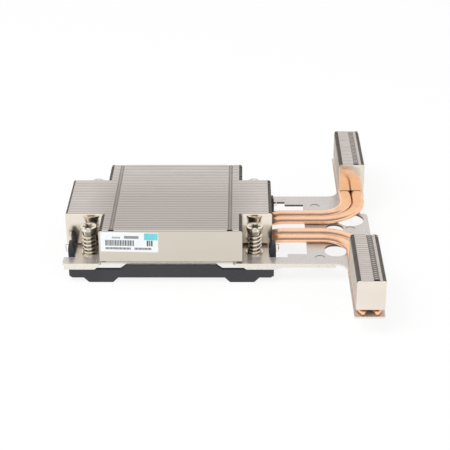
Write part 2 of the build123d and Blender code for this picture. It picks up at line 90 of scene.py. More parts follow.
SHEET_SHARE = 0.9
SHEARED_SLOT = 1
SHADED_SLOT = 2

# Heat pipes
PIPE_W = 7.1 * MM
PIPE_H = 3.2 * MM
PIPE_BEND_R = 17 * MM
RISE_EARLY = 5.0 * MM
RISE_RUN = 12.0 * MM
RISE_LEAD = 4 * MM
RISE_STEPS = 12
BEND_STEPS = 32
TAPER = 5.6 * MM
TAPER_STEPS = (1.6, 1.0, 0.8, 0.6, 0.42, 0.27, 0.15, 0.06, 0.0)
TIP_W_SHARE = 0.25
TIP_H_SHARE = 0.5
PIPE_SIDES = 48
PIPE_DOME = 0.78

# Screws and springs
PLATE_T = 1.2 * MM
RING_T = 0.8 * MM
HEAD_H = 4.5 * MM
RECESS_R = 3.3 * MM
RECESS_DEPTH = 1.9 * MM
SHANK_R = 2.7 * MM
GROOVE_R = 1.6 * MM
GROOVE_ROOM = 0.05 * MM
THREAD_R = 2.0 * MM
THREAD_DEPTH = 0.38 * MM
THREAD_PITCH = 0.7 * MM
THREAD_STEPS = 44
WIRE_R = 0.7 * MM
WIRE_SIDES = 12
COIL_PITCH = 2.45 * MM
COIL_R = 3.42 * MM
COIL_TURNS = 5
COIL_STEPS = 36
END_TURN = 0.5

# Label, its printed layers raised a little over the paper
LABEL_W = 32.2 * MM
LABEL_H = 12.4 * MM
LABEL_TURN = 1.2
LABEL_T = 0.11 * MM
PRINT_LOW = 0.1 * MM
PRINT_HIGH = 0.118 * MM
TEAL_HIGH = 0.117 * MM

# Latches of the plastic frame, drawn in to where the photograph shows their tops
LATCH_DROP = 3.4 * MM
LATCH_TOP_OVER = 4 * MM
LATCH_BARB_IN = 1.0 * MM
LATCH_DEPTH = 4 * MM
FRAME_EDGE = 0.25


# Mesh helpers

def mesh_object(name, verts, faces, smooth=True):
    mesh = bpy.data.meshes.new(name)
    mesh.from_pydata([tuple(v) for v in verts], [], faces)
    mesh.validate()
    mesh.polygons.foreach_set("use_smooth", [smooth] * len(mesh.polygons))
    obj = bpy.data.objects.new(name, mesh)
    bpy.context.scene.collection.objects.link(obj)
    return obj


def outward(obj):
    """Loose points dropped and faces turned to the outside."""
    bm = bmesh.new()
    bm.from_mesh(obj.data)
    bmesh.ops.remove_doubles(bm, verts=bm.verts, dist=1e-7)
    bmesh.ops.recalc_face_normals(bm, faces=bm.faces)
    bm.to_mesh(obj.data)
    bm.free()
    return obj


def sharp_by_angle(obj, degrees):
    """Smooth shading that breaks at real corners."""
    mesh = obj.data
    mesh.polygons.foreach_set("use_smooth", [True] * len(mesh.polygons))
    bm = bmesh.new()
    bm.from_mesh(mesh)
    limit = math.radians(degrees)
    for e in bm.edges:
        e.smooth = len(e.link_faces) == 2 and e.calc_face_angle(0) < limit
    bm.to_mesh(mesh)
    bm.free()


def add_bevel(obj, width_mm):
    """Small rounding of every edge that turns by more than 35 degrees."""
    bevel = obj.modifiers.new("bevel", "BEVEL")
    bevel.width = width_mm * MM
    bevel.segments = 2
    bevel.limit_method = "ANGLE"
    bevel.angle_limit = math.radians(35)
    bevel.harden_normals = True


def rings_to_faces(count, sides):
    """Quads between neighbouring rings of points."""
    faces = []
    for i in range(count - 1):
        for j in range(sides):
            a = i * sides + j
            b = i * sides + (j + 1) % sides
            faces.append((a, b, b + sides, a + sides))
    return faces


def tube_object(name, rings):
    """A closed skin over rings of points, with a cap at both ends."""
    sides = len(rings[0])
    faces = rings_to_faces(len(rings), sides)
    last = (len(rings) - 1) * sides
    faces.append(tuple(range(sides)))
    faces.append(tuple(last + j for j in range(sides)))
    return outward(mesh_object(name, [p for ring in rings for p in ring], faces))


def finish_piece(obj, mat, body, node=None):
    obj.data.materials.clear()
    obj.data.materials.append(mat)
    if node:
        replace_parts(obj, node)
    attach(obj, body)
    return obj


# Materials

class Shader:
    """A node material being put together around one Principled shader."""

    def __init__(self, name):
        self.mat = bpy.data.materials.new(name)
        self.mat.use_nodes = True
        self.nodes = self.mat.node_tree.nodes
        self.links = self.mat.node_tree.links
        self.out = self.nodes["Principled BSDF"]
        self.coords = self.nodes.new("ShaderNodeTexCoord")

    def set(self, name, value):
        self.out.inputs[name].default_value = value

    def feed(self, name, socket):
        self.links.new(socket, self.out.inputs[name])

    def noise(self, scale, stretch=(1, 1, 1), detail=4, rough=0.55):
        """Noise over the object, its grain drawn out along the axes with a small stretch value."""
        mapping = self.nodes.new("ShaderNodeMapping")
        mapping.inputs["Scale"].default_value = stretch
        self.links.new(self.coords.outputs["Object"], mapping.inputs["Vector"])
        noise = self.nodes.new("ShaderNodeTexNoise")
        noise.inputs["Scale"].default_value = scale
        noise.inputs["Detail"].default_value = detail
        noise.inputs["Roughness"].default_value = rough
        self.links.new(mapping.outputs["Vector"], noise.inputs["Vector"])
        return noise.outputs["Fac"]

    def ranged(self, value, low, high, start=0.3, end=0.7):
        """A value carried from its own range to another."""
        node = self.nodes.new("ShaderNodeMapRange")
        node.inputs["From Min"].default_value = start
        node.inputs["From Max"].default_value = end
        node.inputs["To Min"].default_value = low
        node.inputs["To Max"].default_value = high
        self.links.new(value, node.inputs["Value"])
        return node.outputs["Result"]

    def face_colour(self):
        """The socket that feeds the base colour so far."""
        return self.out.inputs["Base Color"].links[0].from_socket

    def split(self, vector):
        node = self.nodes.new("ShaderNodeSeparateXYZ")
        self.links.new(vector, node.inputs["Vector"])
        return node.outputs["X"], node.outputs["Y"], node.outputs["Z"]

    def place(self):
        """Where a point of the surface lies on the object, in metres."""
        return self.split(self.coords.outputs["Object"])

    def facing(self, axis):
        """How much the surface faces along this axis, from -1 to 1."""
        geometry = self.nodes.new("ShaderNodeNewGeometry")
        return self.split(geometry.outputs["Normal"])["XYZ".index(axis)]

    def size(self, value):
        return self.math("ABSOLUTE", value, 0)

    def blend(self, factor, one, two):
        """Colour between two, each a triple or a socket."""
        mix = self.nodes.new("ShaderNodeMix")
        mix.data_type = "RGBA"
        for name, colour in (("A", one), ("B", two)):
            if isinstance(colour, tuple):
                mix.inputs[name].default_value = (*colour, 1)
            else:
                self.links.new(colour, mix.inputs[name])
        self.links.new(factor, mix.inputs["Factor"])
        return mix.outputs["Result"]

    def math(self, operation, one, two):
        node = self.nodes.new("ShaderNodeMath")
        node.operation = operation
        for i, value in enumerate((one, two)):
            if isinstance(value, (int, float)):
                node.inputs[i].default_value = value
            else:
                self.links.new(value, node.inputs[i])
        return node.outputs["Value"]

    def bump(self, height, strength, distance):
        bump = self.nodes.new("ShaderNodeBump")
        bump.inputs["Strength"].default_value = strength
        bump.inputs["Distance"].default_value = distance
        self.links.new(height, bump.inputs["Height"])
        self.feed("Normal", bump.outputs["Normal"])


def metal(name, light, dark, rough, spread, streak=(1, 1, 1), bump=0.05, cloud=70):
    """Plated or bare metal: slow colour clouds, fine drawn-out grain, uneven gloss."""
    s = Shader(name)
    s.set("Metallic", 1)
    clouds = s.noise(cloud, streak, 3)
    s.feed("Base Color", s.blend(s.ranged(clouds, 0, 1), light, dark))
    fine = s.noise(700, streak, 5, 0.6)
    s.feed("Roughness", s.ranged(fine, rough - spread, rough + spread))
    s.bump(fine, bump, 0.00003)
    return s


def fin_metal():
    """Bright plated sheet, with painted shade on the folded tops: facing up, they take a darker copy of the
    plating than the walls, darkest in the middle of the stack.
    """
    s = metal("nickel_fins", (0.87, 0.80, 0.70), (0.82, 0.75, 0.65), 0.15, 0.05, (0.3, 1, 1), 0.05)
    wall = s.face_colour()
    strips = s.noise(420, (0.03, 1, 0.03), 2)
    light = s.blend(s.ranged(strips, 0, 1), (0.70, 0.635, 0.58), (0.64, 0.58, 0.53))
    x, y, _ = s.place()
    # Painted shade on the tops, deeper towards the front middle of the main stack
    deeper_top_shade = s.math("MULTIPLY", s.ranged(y, 1, 0, 0, 35 * MM), s.ranged(s.size(x), 1, 0, 36 * MM, 50 * MM))
    top = s.blend(deeper_top_shade, light, (0.54, 0.49, 0.445))
    smears = s.noise(38, (0.6, 1, 1), 4, 0.7)
    top = s.blend(s.ranged(smears, 0, 0.4, 0.5, 0.75), top, (0.50, 0.44, 0.39))
    # Painted shade: faces turned up take the darker top colour, upright walls keep the plating colour
    s.feed("Base Color", s.blend(s.ranged(s.facing("Z"), 0, 1, 0.4, 0.8), wall, top))
    return s.mat


def panel_metal():
    """The front end fin, a shade deeper than the fins behind it."""
    light, dark = (0.685, 0.635, 0.55), (0.66, 0.61, 0.525)
    return metal("nickel_panel", light, dark, 0.14, 0.04, (0.3, 1, 1), 0.05).mat


def edge_metal():
    """The sheared ends of the fins: rough, so they catch the light from every side."""
    s = metal("nickel_sheared", (0.86, 0.80, 0.73), (0.80, 0.735, 0.66), 0.6, 0.08, (1, 1, 0.4), 0.2)
    s.set("Metallic", 0.35)
    return s.mat


def plate_metal():
    """Satin plated steel, with painted shade and light on its upright faces: its punched inner edges
    painted darker and browner than its faces, its outer edges painted lighter.
    """
    s = metal("nickel_plate", (0.65, 0.605, 0.57), (0.63, 0.585, 0.55), 0.26, 0.02, (1, 0.6, 1), 0.005)
    # Painted light and shade by facing: inner cut edges a dark brown painted shade, outer edges a lighter
    # painted copy of the plating
    upright = s.math("LESS_THAN", s.size(s.facing("Z")), 0.5)
    _, y, _ = s.place()
    inside = s.math("LESS_THAN", s.size(y), 39 * MM)
    edge = s.blend(inside, (0.80, 0.76, 0.69), (0.12, 0.09, 0.07))
    s.feed("Base Color", s.blend(upright, s.face_colour(), edge))
    s.set("Metallic", 0.6)
    return s.mat


def copper_metal():
    """Bare copper, with duller and redder patches where it was handled and heated."""
    s = metal("copper", (1.0, 0.655, 0.44), (0.97, 0.57, 0.35), 0.17, 0.06, (0.5, 0.5, 1), 0.04, 110)
    tarnish = s.noise(75, (1, 1, 1), 5, 0.65)
    s.feed("Base Color", s.blend(s.ranged(tarnish, 0, 0.6, 0.54, 0.7), s.face_colour(), (0.74, 0.36, 0.21)))
    s.set("Metallic", 0.86)
    return s.mat


def turned_metal(name, light, dark):
    """Bright steel of the screws and springs, with painted reflections: light and dark bands painted round
    its upright sides by which way they face.
    """
    s = metal(name, light, dark, 0.13, 0.04, (1, 1, 0.3))
    # Painted reflections: light and dark bands set by how far an upright side faces along X
    ramp = s.nodes.new("ShaderNodeValToRGB")
    s.links.new(s.ranged(s.facing("X"), 0, 1, -1, 1), ramp.inputs["Fac"])
    painted_reflection_bands = ((0.0, 0.55), (0.13, 0.6), (0.2, 1.0), (0.36, 1.0), (0.44, 0.7),
             (0.6, 0.7), (0.66, 1.0), (0.72, 1.0), (0.82, 0.5), (1.0, 0.45))
    for place, level in painted_reflection_bands[1:-1]:
        ramp.color_ramp.elements.new(place)
    for element, (place, level) in zip(ramp.color_ramp.elements, painted_reflection_bands):
        element.position = place
        element.color = (level, level, level, 1)
    side = s.nodes.new("ShaderNodeMix")
    side.data_type = "RGBA"
    side.blend_type = "MULTIPLY"
    s.links.new(s.face_colour(), side.inputs["A"])
    s.links.new(ramp.outputs["Color"], side.inputs["B"])
    upright = s.ranged(s.size(s.facing("Z")), 1, 0, 0.3, 0.8)
    s.links.new(upright, side.inputs["Factor"])
    s.feed("Base Color", side.outputs["Result"])
    return s.mat


def base_metal():
    """Copper of the base, painted a dark brown shade for where it sits in shadow under the fins, and
    lighter along its front and rear edges.
    """
    # Painted shade: copper darkened to deep brown for the shadow under the fins
    s = metal("base_copper", (0.34, 0.19, 0.14), (0.26, 0.14, 0.10), 0.35, 0.05, (0.5, 0.5, 1), 0.04, 110)
    _, y, _ = s.place()
    edge = s.ranged(s.size(y), 0, 1, 36 * MM, 39 * MM)
    s.feed("Base Color", s.blend(edge, s.face_colour(), (0.70, 0.61, 0.54)))
    return s.mat


def plastic(name, light, dark, rough):
    s = Shader(name)
    s.feed("Base Color", s.blend(s.ranged(s.noise(60, detail=3), 0, 1), light, dark))
    spark = s.noise(2600, detail=2)
    s.feed("Roughness", s.ranged(spark, rough - 0.06, rough + 0.08))
    s.bump(spark, 0.25, 0.00008)
    return s.mat


def paper(name, colour, other):
    s = Shader(name)
    fibres = s.noise(500, (1, 1, 2))
    s.feed("Base Color", s.blend(s.ranged(fibres, 0, 1), colour, other))
    s.set("Roughness", 0.42)
    s.bump(fibres, 0.1, 0.00004)
    return s.mat


NICKEL = fin_metal()
PANEL = panel_metal()
SHEARED = edge_metal()
PLATE = plate_metal()
COPPER = copper_metal()
BASE_COPPER = base_metal()
# Painted shade: a near-black copy of the plating for fin walls seen in shade through slots and open ends
SHADED = metal("nickel_painted_shade", (0.10, 0.09, 0.08), (0.07, 0.06, 0.055), 0.5, 0.05).mat
STEEL = turned_metal("screw_steel", (0.93, 0.87, 0.77), (0.86, 0.79, 0.69))
WIRE = metal("spring_wire", (0.86, 0.80, 0.71), (0.72, 0.66, 0.58), 0.14, 0.05).mat
# Painted shade and glints inside the screw recess: dark patches with near-white sparkles on the steel
RECESS_SHADE = metal("screw_recess_shade", (0.92, 0.88, 0.80), (0.22, 0.18, 0.15), 0.3, 0.1, (1, 1, 0.3), 0.3, 520).mat
BLACK = plastic("black_plastic", (0.031, 0.031, 0.037), (0.025, 0.025, 0.03), 0.46)
WHITE_PAPER = paper("label_white", (0.80, 0.835, 0.86), (0.75, 0.785, 0.81))
INK = paper("label_ink", (0.085, 0.08, 0.08), (0.12, 0.115, 0.115))
SOFT_INK = paper("label_soft_ink", (0.22, 0.225, 0.24), (0.28, 0.285, 0.30))
TEAL = paper("label_teal", (0.10, 0.52, 0.62), (0.20, 0.66, 0.66))


# Folded fins

def arc_points(centre, r, start, end, steps=3):
    cy, cz = centre
    points = []
    for i in range(steps + 1):
        a = math.radians(start + (end - start) * i / steps)
        points.append((cy + r * math.cos(a), cz + r * math.sin(a)))
    return points


def fold_path(pitch, z0, z1, seam):
    """Middle line of a fin from its end, as (y, z): foot flange, wall, fold and three top points."""
    half = FIN_T / 2
    r = FOLD_R
    reach = pitch - seam
    path = [(reach, z0 + half)]
    path += arc_points((half + r, z0 + half + r), r, 270, 180)
    path.append((half, z1 - SHADE_DEPTH))
    wall_top = len(path)
    path += arc_points((half + r, z1 - half - r), r, 180, 90)
    flange = len(path)
    path += [(0.5 * reach, z1 - half), (0.8 * reach, z1 - half), (reach, z1 - half)]
    return path, wall_top, flange


def fin_columns(span, top_span, rows):
    """Places along X where a fin's mesh changes.

    rows are the zipper rows: their places, the half width of a slot and the share of its bridge.
    """
    x0, x1 = span
    zips, half, bridge = rows
    columns = {x0, x0 + EDGE_W, x0 + FIN_CORNER, x1 - FIN_CORNER, x1 - EDGE_W, x1, *top_span}
    columns |= {top_span[0] - FLANGE_CUT, top_span[1] + FLANGE_CUT}
    for x in zips:
        columns |= {x + k * half for k in (*SLOT_STEPS, -bridge, 0, bridge)}
    return sorted(x for x in columns if x0 <= x <= x1)


def corner_drop(x, span):
    """How far the rounded top corner lies below the top at this place."""
    inside = min(x - span[0], span[1] - x)
    if inside >= FIN_CORNER:
        return 0.0
    return FIN_CORNER - math.sqrt(FIN_CORNER ** 2 - (FIN_CORNER - inside) ** 2)


def zip_offset(x, rows):
    """Distance from the nearest zipper row, as a share of its half width."""
    return min(abs(x - z) / rows[1] for z in rows[0])


def straight_end(path, wall_top, flange, z1):
    """The same fin where its top isn't folded over: the wall runs straight up."""
    half = FIN_T / 2
    steps = flange - 1 - wall_top
    z_fold = path[wall_top][1]
    rise = [(half, z_fold + (z1 - z_fold) * i / steps) for i in range(steps + 1)]
    return path[:wall_top] + rise + path[flange:]


def fin_stack(name, starts, pitch, heights, span, top_span, rows, first=False, light_side=False, seam=SEAM):
    """Fins of folded sheet one behind another, with an arrow-shaped slot in each top at a zipper row.

    span is where the walls reach along X, top_span where the top flanges do.
    """
    z0, z1 = heights
    path, wall_top, flange = fold_path(pitch, z0, z1, seam)
    end_path = straight_end(path, wall_top, flange, z1)
    n = len(path)
    columns = fin_columns(span, top_span, rows)
    stroke = MARK_STROKE if first else ZIP_STROKE
    slot_start = FIN_T if first else SLOT_START * pitch
    slot_limit = pitch - seam - LIP
    verts = []
    faces = []
    for y0 in starts:
        start = len(verts)
        for x in columns:
            drop = corner_drop(x, span)
            off = zip_offset(x, rows)
            folded = top_span[0] <= x <= top_span[1]
            for j, (y, z) in enumerate(path if folded else end_path):
                if j in (flange, flange + 1) and off <= 1.01:
                    y = slot_start + ZIP_RISE * (1 - off) + (stroke if j == flange + 1 else 0)
                    y = min(y, slot_limit)
                verts.append((x, y0 + y, z - drop if j >= wall_top else z))
        for i in range(len(columns) - 1):
            near, far = columns[i], columns[i + 1]
            on_top = top_span[0] <= near and far <= top_span[1]
            at_cut = not on_top and far - near < 1.5 * FLANGE_CUT
            slotted = rows[2] < zip_offset((near + far) / 2, rows) < 1
            for j in range(n - 1):
                if j >= flange - 1 and not on_top or j >= wall_top and at_cut:
                    continue
                if slotted and (j == flange or (first and j == flange - 1)):
                    continue
                a = start + i * n + j
                faces.append((a, a + 1, a + n + 1, a + n))
    obj = outward(mesh_object(name, verts, faces))
    add_thickness(obj, FIN_T * SHEET_SHARE)
    sharp_by_angle(obj, 40)
    finish_piece(obj, PANEL if first and not light_side else NICKEL, "carrier")
    shade_from = starts[0] + pitch / 2 if first or name == "fins_middle" else starts[0]
    mark_fin_faces(obj, span, top_span, rows, (shade_from, z1 - SHADE_DEPTH), light_side)
    return obj


def mark_fin_faces(obj, span, top_span, rows, shade_from, light_side):
    """Rough metal on the sheared ends, and painted shade on the walls behind open slots and open ends: a
    near-black copy of the plating.

    shade_from holds the Y and the height beyond which a wall can be dark.
    """
    obj.data.materials.append(SHEARED)
    obj.data.materials.append(SHADED)
    for face in obj.data.polygons:
        x, y, z = face.center
        at_end = min(x - span[0], span[1] - x) < EDGE_W * 0.9
        opened = not top_span[0] < x < top_span[1] or zip_offset(x, rows) < 1
        # Painted shade on the walls seen through open slots and open ends
        if opened and face.normal.y < -0.7 and z > shade_from[1] and y > shade_from[0]:
            face.material_index = SHADED_SLOT
        elif at_end and (light_side or abs(face.normal.x) > 0.7):
            face.material_index = SHEARED_SLOT


def add_thickness(obj, t):
    """Sheet metal of this thickness about the drawn surface, turned into real mesh."""
    solid = obj.modifiers.new("thickness", "SOLIDIFY")
    solid.thickness = t
    solid.offset = 0
    solid.use_even_offset = True
    deps = bpy.context.evaluated_depsgraph_get()
    obj.data = bpy.data.meshes.new_from_object(obj.evaluated_get(deps))
    obj.modifiers.clear()


def plain_panel(name, span, y0, heights, zips):
    """Last fin of a stack: flat, with round top corners and a notch for each zipper row."""
    z0, z1 = heights
    rows = (zips, MARK_HALF, 0)
    columns = fin_columns(span, span, rows)
    tops = []
    for x in columns:
        notch = NOTCH if zip_offset(x, rows) < 1.01 else 0
        tops.append(z1 - corner_drop(x, span) - notch)
    outline = list(zip(columns, tops)) + [(span[1], z0), (span[0], z0)]
    front = [(x, y0, z) for x, z in outline]
    back = [(x, y0 + FIN_T, z) for x, z in outline]
    n = len(outline)
    faces = [tuple(range(n)), tuple(range(2 * n - 1, n - 1, -1))]
    faces += [(i, (i + 1) % n, n + (i + 1) % n, n + i) for i in range(n)]
    obj = outward(mesh_object(name, front + back, faces, smooth=False))
    return finish_piece(obj, NICKEL, "carrier")


def main_fins():
    """Narrow fins in front, wide ones between the screws, narrow ones behind."""
    heights = (FRONT_LO[2], FRONT_HI[2])
    zips = (-MAIN_ZIP_X, MAIN_ZIP_X)
    narrow = (FRONT_LO[0], FRONT_HI[0])
    wide = (WING_LO[0], WING_HI[0])
    narrow_top = (narrow[0] + MAIN_MARGIN, narrow[1] - MAIN_MARGIN)
    wide_top = (wide[0] + WING_LEFT_MARGIN, wide[1] - MAIN_MARGIN)
    places = [FRONT_LO[1] + k * FIN_PITCH for k in range(MAIN_GAPS)]
    near = WING_LO[1] - FIN_T / 2
    far = WING_HI[1] - FIN_T * 1.5
    front = [y for y in places[1:] if y < near]
    middle = [y for y in places if near < y < far]
    last_wide = [y for y in places if far < y < far + FIN_T]
    rear = [y for y in places if y > far + FIN_T]
    locks = (zips, MAIN_ZIP_HALF, MAIN_ZIP_BRIDGE)
    panel = fin_stack("front_panel", places[:1], FIN_PITCH, heights, narrow, narrow_top,
                      (zips, MARK_HALF, 0), first=True)
    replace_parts(panel, "main_front_fin")
    groups = (
        ("fins_front", "main_fins_front", front, narrow, narrow_top),
        ("fins_middle", "main_fins_middle", middle, wide, wide_top),
        ("fins_middle_last", None, last_wide, wide, narrow_top),
        ("fins_rear", "main_fins_rear", rear, narrow, narrow_top),
    )
    for name, node, starts, span, top_span in groups:
        piece = fin_stack(name, starts, FIN_PITCH, heights, span, top_span, locks)
        if node:
            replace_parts(piece, node)
    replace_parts(plain_panel("rear_panel", narrow, REAR_LO[1], heights, zips), "main_rear_fin")


def remote_fins(name):
    lo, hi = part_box(f"remote_end_fins_{name}")
    heights = (lo[2], hi[2])
    pitch = (hi[1] - lo[1] - FIN_T) / REMOTE_GAPS
    span = (lo[0], hi[0])
    top_span = (lo[0] + REMOTE_MARGIN, hi[0] - REMOTE_MARGIN)
    zips = (lo[0] + REMOTE_ZIP_IN,)
    places = [lo[1] + k * pitch for k in range(REMOTE_GAPS + 1)]
    seam = OPEN_SEAM if name == "front" else SEAM
    stack = fin_stack(f"outlying_fins_{name}", places[1:-1], pitch, heights, span, top_span,
                      (zips, REMOTE_ZIP_HALF, 0), light_side=True, seam=seam)
    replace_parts(stack, f"remote_fins_{name}")
    panel = fin_stack(f"outlying_panel_{name}", places[:1], pitch, heights, span, top_span,
                      (zips, MARK_HALF, 0), first=True, light_side=True)
    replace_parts(panel, f"remote_end_fins_{name}")
    plain_panel(f"outlying_back_{name}", span, places[-1], heights, zips)


# Heat pipes

def pipe_route(row, side):
    """Middle line of one pipe as (x, y, z, turn in plan), as if on the rear side."""
    name = f"heat_pipe_{'front' if side < 0 else 'rear'}_{'long' if row == 0 else 'short'}"
    lo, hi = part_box(name)
    y = min(abs(lo[1]), abs(hi[1])) + PIPE_W / 2
    y_tip = max(abs(lo[1]), abs(hi[1]))
    x_leg = hi[0] - PIPE_W / 2
    low = lo[2] + PIPE_H / 2
    high = hi[2] - PIPE_H / 2
    radius = PIPE_BEND_R + pipe_reach(row, side)
    rise_x = WING_HI[0] - RISE_EARLY
    route = [(lo[0], y, low, 0.0), (rise_x - RISE_LEAD, y, low, 0.0)]
    for i in range(RISE_STEPS + 1):
        t = i / RISE_STEPS
        route.append((rise_x + RISE_RUN * t, y, low + (high - low) * (3 * t * t - 2 * t ** 3), 0.0))
    for i in range(BEND_STEPS + 1):
        a = math.radians(90 * i / BEND_STEPS)
        route.append((x_leg - radius + radius * math.sin(a), y + radius * (1 - math.cos(a)), high, a))
    for share in TAPER_STEPS:
        route.append((x_leg, y_tip - share * TAPER, high, math.pi / 2))
    return name, route


def pipe_reach(row, side):
    """How much wider the inner pipe turns than the outer one of its pair."""
    if row:
        return 0.0
    pair = "front" if side < 0 else "rear"
    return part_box(f"heat_pipe_{pair}_long")[1][0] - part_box(f"heat_pipe_{pair}_short")[1][0]


def pipe_section(width, height):
    """Flattened tube as (across, up): slightly domed above and below, round at the sides."""
    points = []
    for j in range(PIPE_SIDES):
        a = 2 * math.pi * (j + 0.5) / PIPE_SIDES
        across = width / 2 * abs(math.cos(a)) ** PIPE_DOME
        up = height / 2 * abs(math.sin(a)) ** PIPE_DOME
        points.append((math.copysign(across, math.cos(a)), math.copysign(up, math.sin(a))))
    return points


def tip_shares(distance):
    """Width and height shares near the pinched end of a pipe."""
    if distance >= TAPER:
        return 1.0, 1.0
    ease = (distance / TAPER) ** 0.75
    return TIP_W_SHARE + (1 - TIP_W_SHARE) * ease, TIP_H_SHARE + (1 - TIP_H_SHARE) * ease


def heat_pipe(row, side):
    """One pipe from under the main stack, up over the window, round its bend and to the pinched end."""
    node, route = pipe_route(row, side)
    y_tip = route[-1][1]
    rings = []
    for i, (x, y, z, turn) in enumerate(route):
        past_bend = turn > 1.57
        wide, tall = tip_shares(y_tip - y if past_bend else math.inf)
        before = route[max(i - 1, 0)]
        after = route[min(i + 1, len(route) - 1)]
        run = math.hypot(after[0] - before[0], after[1] - before[1])
        tilt = math.atan2(after[2] - before[2], run)
        ring = []
        for across, up in pipe_section(PIPE_W * wide, PIPE_H * tall):
            px = x + across * math.sin(turn) - up * math.sin(tilt) * math.cos(turn)
            py = y - across * math.cos(turn)
            ring.append((px, side * py, z + up * math.cos(tilt)))
        rings.append(ring)
    obj = tube_object(node.replace("heat_pipe", "pipe"), rings)
    sharp_by_angle(obj, 50)
    finish_piece(obj, COPPER, "carrier", node)


# Screws and springs

def lathe(name, place, rows, sides=72):
    """A turned piece. rows are (radius function of the angle, z) from top to bottom."""
    x, y = place
    rings = []
    for radius, z in rows:
        ring = []
        for j in range(sides):
            a = 2 * math.pi * j / sides
            ring.append((x + radius(a) * math.cos(a), y + radius(a) * math.sin(a), z))
        rings.append(ring)
    return tube_object(name, rings)


def round_row(r, z):
    return (lambda a: r * MM), z


def star_row(tip, hollow, z):
    """Six lobes, wide at their tips."""
    return (lambda a: (hollow + (tip - hollow) * (0.5 + 0.5 * math.cos(6 * a)) ** 0.8) * MM), z


def thread_row(z):
    def radius(a):
        phase = (z / THREAD_PITCH + a / (2 * math.pi)) % 1
        return THREAD_R - THREAD_DEPTH * abs(2 * phase - 1)
    return radius, z


def screw_piece(place_name):
    """Captive screw from its recess down to the tip; the radii of the round and star rows are in mm."""
    lo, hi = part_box(f"screw_{place_name}")
    place = ((lo[0] + hi[0]) / 2, (lo[1] + hi[1]) / 2)
    top, tip = hi[2], lo[2]
    under = top - HEAD_H
    floor_z = top - RECESS_DEPTH
    rows = [
        round_row(0.3, floor_z + 0.1 * MM),
        round_row(1.2, floor_z + 0.05 * MM),
        star_row(3.1, 1.6, floor_z),
        star_row(3.25, 1.7, top - 0.4 * MM),
        star_row(3.4, 2.0, top - 0.2 * MM),
        round_row(3.65, top - 0.16 * MM),
        round_row(3.9, top - 0.14 * MM),
        round_row(4.1, top - 0.02 * MM),
        round_row(4.3, top),
        round_row(4.5, top - 0.1 * MM),
        round_row(4.6, top - 0.35 * MM),
        round_row(4.6, top - 1.5 * MM),
        round_row(4.5, top - 1.8 * MM),
        round_row(3.95, under + 0.5 * MM),
        round_row(3.8, under),
    ]
    groove_top = PLATE_HI[2] - PLATE_T + GROOVE_ROOM
    groove_bottom = PLATE_HI[2] - PLATE_T - RING_T - GROOVE_ROOM
    rows += [((lambda a: SHANK_R), under - 0.02 * MM), ((lambda a: SHANK_R), groove_top)]
    rows += [((lambda a: GROOVE_R), groove_top - 0.01 * MM), ((lambda a: GROOVE_R), groove_bottom)]
    start = groove_bottom - 0.02 * MM
    for i in range(THREAD_STEPS + 1):
        rows.append(thread_row(start + (tip + 0.4 * MM - start) * i / THREAD_STEPS))
    rows += [round_row(1.3, tip + 0.03 * MM), round_row(0.3, tip)]
    obj = lathe(f"screw_body_{place_name}", place, rows)
    sharp_by_angle(obj, 38)
    finish_piece(obj, STEEL, f"screw_{place_name}", f"screw_{place_name}")
    # Painted shade: the faces inside the recess take the dark recess metal
    obj.data.materials.append(RECESS_SHADE)
    for face in obj.data.polygons:
        inward = math.hypot(face.center.x - place[0], face.center.y - place[1]) < RECESS_R
        if inward and face.center.z > under and face.center.z < top - 0.21 * MM:
            face.material_index = 1


def coil_height(turn, z0, z1):
    """Height of the wire after this many turns: flat on the seat, then even, closed under the head."""
    if turn < END_TURN:
        return z0
    last = z0 + COIL_PITCH * (COIL_TURNS - 2 * END_TURN)
    rest = COIL_TURNS - turn
    if rest < END_TURN:
        return z1 - (z1 - last) * rest / END_TURN
    return z0 + COIL_PITCH * (turn - END_TURN)


def coil(place_name):
    """Compression spring with closed ends, wound in wire."""
    lo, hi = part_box(f"spring_{place_name}")
    x, y = (lo[0] + hi[0]) / 2, (lo[1] + hi[1]) / 2
    steps = COIL_TURNS * COIL_STEPS
    rings = []
    for i in range(steps + 1):
        turn = COIL_TURNS * i / steps
        a = 2 * math.pi * turn + math.pi / 2
        z = coil_height(turn, lo[2] + WIRE_R, hi[2] - WIRE_R)
        thin = min(1.0, 0.5 + 1.6 * min(turn, COIL_TURNS - turn))
        ring = []
        for j in range(WIRE_SIDES):
            b = 2 * math.pi * j / WIRE_SIDES
            r = COIL_R + WIRE_R * math.cos(b)
            ring.append((x + r * math.cos(a), y + r * math.sin(a), z + WIRE_R * thin * math.sin(b)))
        rings.append(ring)
    obj = tube_object(f"coil_{place_name}", rings)
    finish_piece(obj, WIRE, "carrier", f"spring_{place_name}")
    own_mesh(obj)


# Label

def label_patch(name, corners, low, high, mat):
    """A thin block on the label; corners are (across, down) as shares of its size."""
    centre = Vector(((LABEL_LO[0] + LABEL_HI[0]) / 2, 0, (LABEL_LO[2] + LABEL_HI[2]) / 2))
    tilt = Matrix.Rotation(math.radians(LABEL_TURN), 4, "Y")
    verts = []
    for depth in (high, low):
        for u, v in corners:
            p = tilt @ Vector(((u - 0.5) * LABEL_W, 0, (0.5 - v) * LABEL_H)) + centre
            verts.append((p.x, LABEL_HI[1] - depth, p.z))
    faces = [(0, 1, 2, 3), (7, 6, 5, 4)] + [(i, 4 + i, 4 + (i + 1) % 4, (i + 1) % 4) for i in range(4)]
    obj = outward(mesh_object(name, verts, faces, smooth=False))
    return finish_piece(obj, mat, "carrier")


def box_corners(u0, v0, u1, v1):
    return [(u0, v0), (u1, v0), (u1, v1), (u0, v1)]


def bars(name, v0, v1, widths, u0, mat):
    """A row of upright bars; widths alternates bar and space, in shares of the label's width."""
    u = u0
    for k, w in enumerate(widths):
        if k % 2 == 0:
            label_patch(f"{name}_{k}", box_corners(u, v0, u + w, v1), PRINT_LOW, PRINT_HIGH, mat)
        u += w


